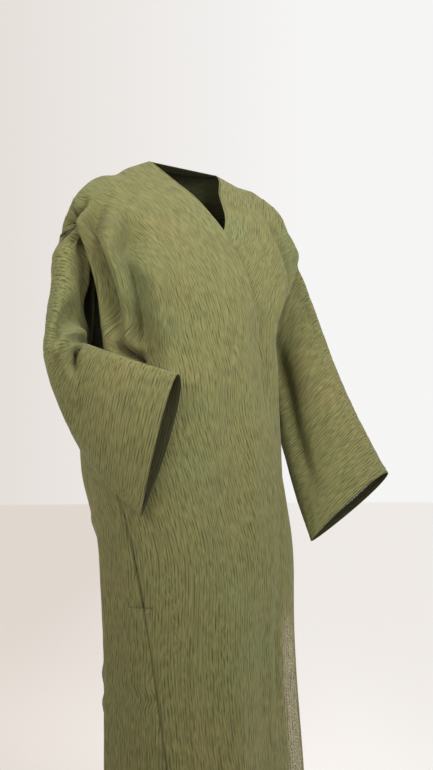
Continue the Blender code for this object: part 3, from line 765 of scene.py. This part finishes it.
def sleeve_rings(table, v, theta):
    """Points of a sleeve's rings, v along it and theta once round it from its outer line."""
    columns = np.moveaxis(read(table, v), -1, 0)
    outer = np.stack(columns[0:3], -1)
    inner = np.stack(columns[3:6], -1)
    turn, rise = np.radians(columns[6]), np.radians(columns[7])
    half_inner, half_outer, far_share, dip = columns[8:]
    way = (1 - np.cos(theta)) / 2
    points = outer + (inner - outer) * way[..., None]
    points[..., 2] = outer[..., 2] + (inner - outer)[..., 2] * way**dip
    near = np.stack([np.cos(rise) * np.cos(turn), np.cos(rise) * np.sin(turn), np.sin(rise)], -1)
    half = (half_outer + (half_inner - half_outer) * way) * np.where(np.sin(theta) < 0, far_share, 1)
    return points + near * (np.sin(theta) * half)[..., None]


def sleeve_surface(table, folds, side, v, turn):
    """Points of a sleeve: the armhole's line at v 0, blended into its own rings, with its folds."""
    rings = sleeve_rings(table, v, np.radians(turn))
    start, square_off, panel_out = armhole(turn, side)
    length, slope = np.moveaxis(read(SEAM_START, 180 - np.abs(180 - turn % 360)), -1, 0)
    leave = unit(square_off + panel_out * slope[..., None])
    straight = length * (1 - np.exp(-v / length))
    blend = 1 - ease(v / ARMHOLE_BLEND)[..., None]
    points = rings * (1 - blend) + (start + leave * straight[..., None]) * blend
    height = fold_height(folds, turn, v, TURN_METRES) * ease(v / FOLDS_START)
    return points + grid_out(points, -side, closed=True) * height[..., None]


def stitch_tree():
    """Geometry nodes that lay short stitches along a path."""
    tree = bpy.data.node_groups.new("stitches_along_path", "GeometryNodeTree")
    tree.is_modifier = True
    tree.interface.new_socket("Geometry", in_out="INPUT", socket_type="NodeSocketGeometry")
    for name, value in zip(STITCH_INPUTS, STITCH):
        socket = tree.interface.new_socket(name, in_out="INPUT", socket_type="NodeSocketFloat")
        socket.default_value = value
    tree.interface.new_socket("Thread", in_out="INPUT", socket_type="NodeSocketMaterial")
    tree.interface.new_socket("Geometry", in_out="OUTPUT", socket_type="NodeSocketGeometry")
    kinds = (
        "NodeGroupInput",
        "NodeGroupOutput",
        "GeometryNodeMeshToCurve",
        "GeometryNodeResampleCurve",
        "GeometryNodeInputTangent",
        "FunctionNodeAlignEulerToVector",
        "GeometryNodeMeshCylinder",
        "GeometryNodeInstanceOnPoints",
        "GeometryNodeRealizeInstances",
        "GeometryNodeSetMaterial",
    )
    made = [tree.nodes.new(kind) for kind in kinds]
    given, result, to_curve, resample, tangent, align, thread, place, realize, paint = made
    resample.mode = "LENGTH"
    align.axis = "Z"
    thread.inputs["Vertices"].default_value = 6
    for source, output, target, socket in (
        (given, "Geometry", to_curve, "Mesh"),
        (to_curve, "Curve", resample, "Curve"),
        (given, "Spacing", resample, "Length"),
        (tangent, "Tangent", align, "Vector"),
        (given, "Thread Radius", thread, "Radius"),
        (given, "Stitch Length", thread, "Depth"),
        (resample, "Curve", place, "Points"),
        (thread, "Mesh", place, "Instance"),
        (align, "Rotation", place, "Rotation"),
        (place, "Instances", realize, "Geometry"),
        (realize, "Geometry", paint, "Geometry"),
        (given, "Thread", paint, "Material"),
        (paint, "Geometry", result, "Geometry"),
    ):
        tree.links.new(source.outputs[output], target.inputs[socket])
    return tree


def stitch_line(name, paths, tree, thread, stitch=STITCH):
    """One mesh of stitches along these open paths."""
    points, edges = [], []
    for path in paths:
        edges += [(len(points) + k, len(points) + k + 1) for k in range(len(path) - 1)]
        points += [tuple(point) for point in path]
    mesh = bpy.data.meshes.new(name + "_path")
    mesh.from_pydata(points, edges, [])
    guide = put(name + "_path", mesh)
    modifier = guide.modifiers.new("stitches", "NODES")
    modifier.node_group = tree
    given = dict(zip((*STITCH_INPUTS, "Thread"), (*stitch, thread)))
    for item in tree.interface.items_tree:
        if item.in_out == "INPUT" and item.name in given:
            modifier[item.identifier] = given[item.name]
    graph = bpy.context.evaluated_depsgraph_get()
    made = bpy.data.meshes.new_from_object(guide.evaluated_get(graph), depsgraph=graph)
    bpy.data.objects.remove(guide)
    made.name = name
    return put(name, made)


def set_inputs(made, **inputs):
    """Give a node these input values, each named with _ for a space."""
    for name, value in inputs.items():
        made.inputs[name.replace("_", " ")].default_value = value


def node(tree, kind, **inputs):
    """A shader node with these input values."""
    made = tree.nodes.new(kind)
    set_inputs(made, **inputs)
    return made


def mix(tree, share, first, second):
    """A blend from the first colour to the second, each of them a value or a node's output."""
    made = tree.nodes.new("ShaderNodeMix")
    made.data_type = "RGBA"
    for value, socket in ((share, made.inputs[0]), (first, made.inputs[6]), (second, made.inputs[7])):
        if isinstance(value, tuple):
            socket.default_value = value
        else:
            tree.links.new(value, socket)
    return made.outputs[2]


def new_material(name, **inputs):
    """A new material, its node tree and its shader with these input values."""
    material = bpy.data.materials.new(name)
    material.use_nodes = True
    shader = material.node_tree.nodes["Principled BSDF"]
    set_inputs(shader, **inputs)
    return material, material.node_tree, shader


def crinkled_cloth(name):
    """Olive crinkled cloth: grooves along its grain, bumped and painted with shade, slow shifts of green
    and brown, and thin places with holes, painted lighter as light shining through.
    """
    material, tree, shader = new_material(
        name,
        Roughness=0.80,
        Sheen_Weight=0.15,
        Sheen_Roughness=0.5,
        Sheen_Tint=(0.85, 0.85, 0.55, 1),
        Specular_IOR_Level=0.20,
    )
    links = tree.links
    grain = tree.nodes.new("ShaderNodeUVMap")
    grain.uv_map = "grain"

    def painted(name):
        made = tree.nodes.new("ShaderNodeAttribute")
        made.attribute_name = name
        return made.outputs["Fac"]

    def streaks(across, along, detail=0.0):
        """Noise stretched along the grain, for metres across it and along it."""
        mapping = node(tree, "ShaderNodeMapping", Scale=(1 / across, 1 / along, 1))
        noise = node(tree, "ShaderNodeTexNoise", Scale=1.0, Detail=detail, Roughness=0.5)
        noise.noise_dimensions = "2D"
        links.new(grain.outputs["UV"], mapping.inputs["Vector"])
        links.new(mapping.outputs["Vector"], noise.inputs["Vector"])
        return noise.outputs["Fac"]

    def ramp(value, low, high, start=0.0, end=1.0):
        made = node(tree, "ShaderNodeMapRange", From_Min=low, From_Max=high, To_Min=start, To_Max=end)
        made.interpolation_type = "SMOOTHSTEP"
        links.new(value, made.inputs["Value"])
        return made.outputs["Result"]

    def maths(kind, first, second=0.0):
        made = node(tree, "ShaderNodeMath")
        made.operation = kind
        for value, socket in ((first, made.inputs[0]), (second, made.inputs[1])):
            if isinstance(value, float):
                socket.default_value = value
            else:
                links.new(value, socket)
        return made.outputs[0]

    def grooves(noise, width):
        """1 along the lines where a noise passes its middle, 0 away from them."""
        return ramp(maths("ABSOLUTE", maths("SUBTRACT", noise, 0.5)), 0.0, width, 1.0, 0.0)

    def ruled(pitch, wander, along):
        """Thin lines along the grain, a pitch apart, that wander a little to the side."""
        aside = maths("MULTIPLY", streaks(0.030, along, 1.0), wander)
        parts = tree.nodes.new("ShaderNodeSeparateXYZ")
        links.new(grain.outputs["UV"], parts.inputs[0])
        turns = maths("ADD", maths("MULTIPLY", parts.outputs["X"], 2 * math.pi / pitch), aside)
        return ramp(maths("SINE", turns), 0.10, 0.95)

    unbroken = ramp(streaks(0.0060, 0.028, 1.0), 0.70, 0.34)
    fine_lines = maths("MULTIPLY", ruled(pitch=0.0056, wander=8.0, along=0.200), unbroken)
    broad_lines = ramp(streaks(0.0024, 0.018), 0.62, 0.36)
    long_grooves = grooves(streaks(0.0090, 0.120, 1.0), 0.070)
    groove = 0.0
    for lines, share in ((fine_lines, 0.62), (broad_lines, 0.34), (long_grooves, 0.16)):
        groove = maths("ADD", maths("MULTIPLY", lines, share), groove)
    thin = painted("sheer")
    place = tree.nodes.new("ShaderNodeTexCoord")
    shifts = node(tree, "ShaderNodeTexNoise", Scale=8.0, Detail=2.0, Roughness=0.5)
    links.new(place.outputs["Object"], shifts.inputs["Vector"])
    colour = mix(tree, ramp(shifts.outputs["Fac"], 0.48, 0.30, 0.0, 0.5), MID_OLIVE, GREEN_CAST)
    colour = mix(tree, ramp(shifts.outputs["Fac"], 0.52, 0.72, 0.0, 0.4), colour, WARM_CAST)
    # Painted light where light shines through the thin places, beside their real holes in the alpha
    colour = mix(tree, maths("MULTIPLY", thin, BACKLIGHT_SHARE), colour, BACKLIT_TAN)
    # Painted shade in the grooves
    colour = mix(tree, maths("MULTIPLY", groove, GROOVE_SHADE_SHARE), colour, GROOVE_SHADE_OLIVE)
    # Painted shade in the deepest creases, in the hollows beside the sleeves and on the garment's inside
    links.new(mix(tree, painted("shade"), colour, DEEP_SHADE), shader.inputs["Base Color"])
    threads = streaks(0.0009, 0.0009)
    heights = maths("SUBTRACT", maths("MULTIPLY", threads, WEAVE_RISE), groove)
    bump = node(tree, "ShaderNodeBump", Strength=0.75, Distance=0.0012)
    links.new(heights, bump.inputs["Height"])
    links.new(bump.outputs["Normal"], shader.inputs["Normal"])
    holes = ramp(streaks(0.0016, 0.0030), 0.42, 0.66, 0.05, 0.60)
    links.new(maths("SUBTRACT", 1.0, maths("MULTIPLY", thin, holes)), shader.inputs["Alpha"])
    return material


def thread_material():
    material, tree, shader = new_material("olive_thread", Roughness=0.6)
    twist = node(tree, "ShaderNodeTexWave", Scale=900.0, Distortion=1.0)
    place = tree.nodes.new("ShaderNodeTexCoord")
    tree.links.new(place.outputs["Object"], twist.inputs["Vector"])
    colour = mix(tree, twist.outputs["Fac"], *THREAD_OLIVES)
    tree.links.new(colour, shader.inputs["Base Color"])
    return material


def finish_piece(piece, node_name, material):
    piece.data.materials.append(material)
    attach(piece, "root")
    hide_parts(node_name)


def front_panel(name, edge, side, steps, lift_at):
    """One front: its piece, its points, where a thread lies on them, and their distances from its edges."""
    phi, t, u, w = half_panel(edge, side, False, steps)
    smooth = body_surface(phi, t, lift_at(u, w))
    across = distance(smooth, 1)
    down = distance(smooth, 0)
    from_hem = distance(smooth, 0, from_end=True)
    from_side = distance(smooth, 1, from_end=True)
    out = grid_out(smooth, side)
    hemmed = np.maximum(on_hem(across, FRONT_HEM), on_hem(from_hem, HEM_WIDTH))
    height = crinkle(across, down, SEEDS[name]) * calm(from_side, down, hemmed) + seam_height(down)
    height += side_height(smooth, from_side, w, TACK_BEFORE, side < 0)
    height += np.minimum(hem_height(across, FRONT_HEM), hem_height(from_hem, HEM_WIDTH))
    points = smooth + out * height[..., None]
    by_edge = ease((SHEER_REACH - across) / SHEER_REACH_EASE) * (side < 0)
    sheer = by_edge * ease((w - SHEER_START) / SHEER_START_EASE) * (1 - hemmed)
    shade = np.maximum(deep_shade(ALL_FOLDS, phi, t, PHI_METRES), hollow_shade(phi, t))
    grain = np.stack([across, down], -1)
    piece = cloth_shell(name + "_cloth", points, hemmed, grain, sheer, shade, side)
    raised = points + out * THREAD_RISE
    edges = {"across": across, "from_hem": from_hem, "from_side": from_side}
    return SimpleNamespace(piece=piece, points=points, raised=raised, **edges)


def two_tones(tree, places, change, tones):
    """One tone on the garment's right and another on its left, as the camera looks at it."""
    across = node(tree, "ShaderNodeVectorMath")
    across.operation = "DOT_PRODUCT"
    across.inputs[1].default_value = (math.cos(CAMERA_AZIMUTH), math.sin(CAMERA_AZIMUTH), 0)
    share = node(tree, "ShaderNodeMapRange", From_Min=change[0], From_Max=change[1])
    tree.links.new(places, across.inputs[0])
    tree.links.new(across.outputs["Value"], share.inputs["Value"])
    return mix(tree, share.outputs["Result"], *tones)


def make_backdrop_and_light():
    """A pale floor with painted shade to the garment's right, a pale world and large soft lights."""
    floor_mesh = bpy.data.meshes.new("floor")
    corners = [(x * FLOOR_REACH, y * FLOOR_REACH, FLOOR_Z) for x, y in ((-1, -1), (1, -1), (1, 1), (-1, 1))]
    floor_mesh.from_pydata(corners, [], [(0, 1, 2, 3)])
    floor = put("floor", floor_mesh)
    glow = {"Emission_Color": (1.0, 0.98, 0.96, 1), "Emission_Strength": 0.06}
    pale, tree, shader = new_material("pale_floor", Roughness=0.9, **glow)
    place = tree.nodes.new("ShaderNodeTexCoord")
    # Painted shade: the floor is darker and warmer to the garment's right, where the studio's light falls
    # off
    tone = two_tones(tree, place.outputs["Object"], FLOOR_SHADE_CHANGE, FLOOR_SHADE_TONES)
    tree.links.new(tone, shader.inputs["Base Color"])
    floor_mesh.materials.append(pale)
    world = bpy.data.worlds.new("studio")
    bpy.context.scene.world = world
    world.use_nodes = True
    tree = world.node_tree
    background = tree.nodes["Background"]
    background.inputs["Strength"].default_value = 1.0
    way = tree.nodes.new("ShaderNodeTexCoord")
    tone = two_tones(tree, way.outputs["Generated"], WORLD_CHANGE, WORLD_TONES)
    tree.links.new(tone, background.inputs["Color"])
    bpy.context.scene.view_settings.view_transform = "Standard"
    for name, at, aim, width, height, spread, watts in LAMPS:
        lamp = bpy.data.lights.new(name, "AREA")
        lamp.shape = "RECTANGLE"
        lamp.size, lamp.size_y = width, height
        lamp.spread = math.radians(spread)
        lamp.energy = watts
        holder = put(name, lamp)
        holder.location = at
        holder.rotation_euler = (Vector(aim) - Vector(at)).to_track_quat("-Z", "Y").to_euler()


def make_camera():
    place = Vector((math.sin(CAMERA_AZIMUTH), -math.cos(CAMERA_AZIMUTH), 0)) * CAMERA_DISTANCE
    inward = -place.normalized()
    to_right = inward.cross(Vector((0, 0, 1)))
    ahead = inward * math.cos(CAMERA_YAW) + to_right * math.sin(CAMERA_YAW)
    look = ahead * math.cos(CAMERA_PITCH) + Vector((0, 0, math.sin(CAMERA_PITCH)))
    right = look.cross(Vector((0, 0, 1))).normalized()
    turn = Matrix((right, right.cross(look), -look)).transposed().to_4x4()
    turn.translation = place + Vector((0, 0, CAMERA_HEIGHT))
    lens = bpy.data.cameras.new("camera")
    lens.sensor_width = 36
    lens.lens = CAMERA_LENS
    camera = put("camera", lens)
    camera.matrix_world = turn
    bpy.context.scene.camera = camera


def make_right_front():
    def flare(u, w):
        return read(FLARE, w)[..., 0] * ease(1 - u / FLARE_WIDTH)

    return front_panel("right_front", RIGHT_FRONT_EDGE, -1, RIGHT_FRONT_STEPS, flare)


def make_left_front():
    def under(u, w):
        return -LAP_GAP * ease((1 - u) / NEAR_SEAM_WIDTH) * ease(w / UNDER_START)

    return front_panel("left_front", LEFT_FRONT_EDGE, 1, LEFT_FRONT_STEPS, under)


def joined(right, left):
    """One grid, from the right side across to the left, made of two halves that run out from the middle."""
    return np.concatenate([right[:, ::-1], left[:, 1:]], axis=1)


def make_back():
    halves = []
    for side in (-1, 1):
        phi, t, _, w = half_panel(BACK_EDGE * [1, side, 1], side, True, HALF_BACK_STEPS)
        smooth = body_surface(phi, t)
        shade = hollow_shade(phi, t) * ease((t - UNDER_ARM_T) / HOLLOW_T_EASES[0])
        halves.append((smooth, distance(smooth, 1) * side, w, shade))
    smooth, from_middle, w, shade = (joined(right, left) for right, left in zip(*halves))
    out = grid_out(smooth, -1)
    down = distance(smooth, 0)
    from_hem = distance(smooth, 0, from_end=True)
    from_right, from_left = distance(smooth, 1), distance(smooth, 1, from_end=True)
    hemmed = on_hem(from_hem, HEM_WIDTH)
    kept = calm(np.minimum(from_right, from_left), down, hemmed)
    height = crinkle(from_middle, down, SEEDS["back"]) * kept
    height += hem_height(from_hem, HEM_WIDTH) + side_height(smooth, from_right, w, TACK_BEHIND)
    height += side_height(smooth, from_left, w, 0, False)
    points = smooth + out * height[..., None]
    grain = np.stack([from_middle, down], -1)
    piece = cloth_shell("back_cloth", points, hemmed, grain, 0 * shade, shade, -1)
    raised = points + out * THREAD_RISE
    edges = {"from_hem": from_hem, "from_side": from_right}
    return SimpleNamespace(piece=piece, points=points, raised=raised, **edges)


def make_sleeve(name, table, folds, side):
    turns = np.arange(2 * STEPS_ARMHOLE) * 180 / STEPS_ARMHOLE
    lengths = SLEEVE_LENGTH * read(SLEEVE_ROWS, np.linspace(0, 1, STEPS_SLEEVE + 1))[..., 0]
    v, turn = np.meshgrid(lengths, turns, indexing="ij")
    smooth = sleeve_surface(table, folds, side, v, turn)
    smooth[0] += armhole(turns, side)[1] * SEAM_GAP / 2
    out = grid_out(smooth, -side, closed=True)
    down = distance(smooth, 0)
    from_cuff = distance(smooth, 0, from_end=True)
    across = down.mean(1, keepdims=True) + 0 * down
    # The crinkle runs round the sleeve, and parts at the seam under the arm.
    round_metres = ((turn + 180) % 360 - 180) * CRINKLE_TURN_METRES
    from_seam = np.abs(turn - 180) * CRINKLE_TURN_METRES
    hemmed = on_hem(from_cuff, CUFF_HEM)
    height = crinkle(across, round_metres, SEEDS[name]) * calm(from_seam, down, hemmed, SLEEVE_CALM)
    height += seam_height(down) + hem_height(from_cuff, CUFF_HEM)
    points = smooth + out * height[..., None]
    behind = within(turn, SHEER_TURNS, SHEER_TURN_EASES)
    sheer = behind * ease((v - SHEER_V) / SHEER_V_EASE) * (1 - hemmed) * (side > 0)
    shade = np.maximum(deep_shade(folds, turn, v, TURN_METRES), facing_shade(turn, v))
    grain = np.stack([across, round_metres], -1)
    piece = cloth_shell(name + "_cloth", points, hemmed, grain, sheer, shade, -side, closed=True)
    return SimpleNamespace(piece=piece, raised=points + out * THREAD_RISE, from_cuff=from_cuff)


def line_at(raised, measure, value, axis):
    """The line across a grid of points, just above the cloth, where this measure first passes value."""
    measure = np.moveaxis(measure, axis, 0)
    raised = np.moveaxis(raised, axis, 0)
    rows = np.arange(measure.shape[1])
    if measure[0].mean() > measure[-1].mean():
        measure, raised = measure[::-1], raised[::-1]
    after = np.clip((measure < value).sum(0), 1, len(measure) - 1)
    low, high = measure[after - 1, rows], measure[after, rows]
    share = np.clip((value - low) / np.maximum(high - low, 1e-9), 0, 1)[:, None]
    return raised[after - 1, rows] * (1 - share) + raised[after, rows] * share


def pocket_stitches(front, back, tree, thread):
    """The tack across the foot of the pocket's mouth, and two short rows of stitches below it."""
    seam_z = front.points[:, -1, 2]
    row = np.abs(seam_z - POCKET_FOOT).argmin()
    back_row = np.abs(back.points[:, 0, 2] - POCKET_FOOT).argmin()
    before = front.raised[row][front.from_side[row] < TACK_BEFORE]
    behind = back.raised[back_row][back.from_side[back_row] < TACK_BEHIND]
    tack = np.concatenate([before, behind])
    lower = tack - [0, 0, TACK_LINE_GAP]
    rows = (seam_z < POCKET_FOOT) & (seam_z > POCKET_FOOT - TOPSTITCH_LENGTH)
    paths = [line_at(front.raised[rows], front.from_side[rows], reach, 1) for reach in TOPSTITCH_FROM_SEAM]
    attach(stitch_line("pocket_tack", [tack, lower], tree, thread, TACK_STITCH), "root")
    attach(stitch_line("pocket_topstitches", paths, tree, thread), "root")


def main():
    cloth = crinkled_cloth("crinkled_olive_cloth")
    thread = thread_material()
    tree = stitch_tree()
    make_camera()
    make_backdrop_and_light()
    right = make_right_front()
    left = make_left_front()
    back = make_back()
    finish_piece(right.piece, "right_front", cloth)
    finish_piece(left.piece, "left_front", cloth)
    finish_piece(back.piece, "back", cloth)
    sleeves = (
        ("right_sleeve", RIGHT_SLEEVE, np.concatenate([RIGHT_SLEEVE_FOLDS, RIGHT_SLEEVE_CREASES]), -1),
        ("left_sleeve", LEFT_SLEEVE, np.concatenate([LEFT_SLEEVE_FOLDS, LEFT_SLEEVE_CREASES]), 1),
    )
    for name, table, folds, side in sleeves:
        sleeve = make_sleeve(name, table, folds, side)
        finish_piece(sleeve.piece, name, cloth)
        ring = line_at(sleeve.raised, sleeve.from_cuff, CUFF_HEM - HEM_BLEND, 0)
        closed_ring = np.concatenate([ring, ring[:1]])
        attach(stitch_line(name + "_cuff_stitches", [closed_ring], tree, thread), "root")
    for name, front in (("right_front", right), ("left_front", left)):
        paths = [
            line_at(front.raised, front.across, FRONT_HEM - HEM_BLEND, 1),
            line_at(front.raised, front.from_hem, HEM_WIDTH - HEM_BLEND, 0),
        ]
        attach(stitch_line(name + "_stitches", paths, tree, thread), "root")
    hem_line = line_at(back.raised, back.from_hem, HEM_WIDTH - HEM_BLEND, 0)
    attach(stitch_line("back_hem_stitches", [hem_line], tree, thread), "root")
    pocket_stitches(right, back, tree, thread)


main()
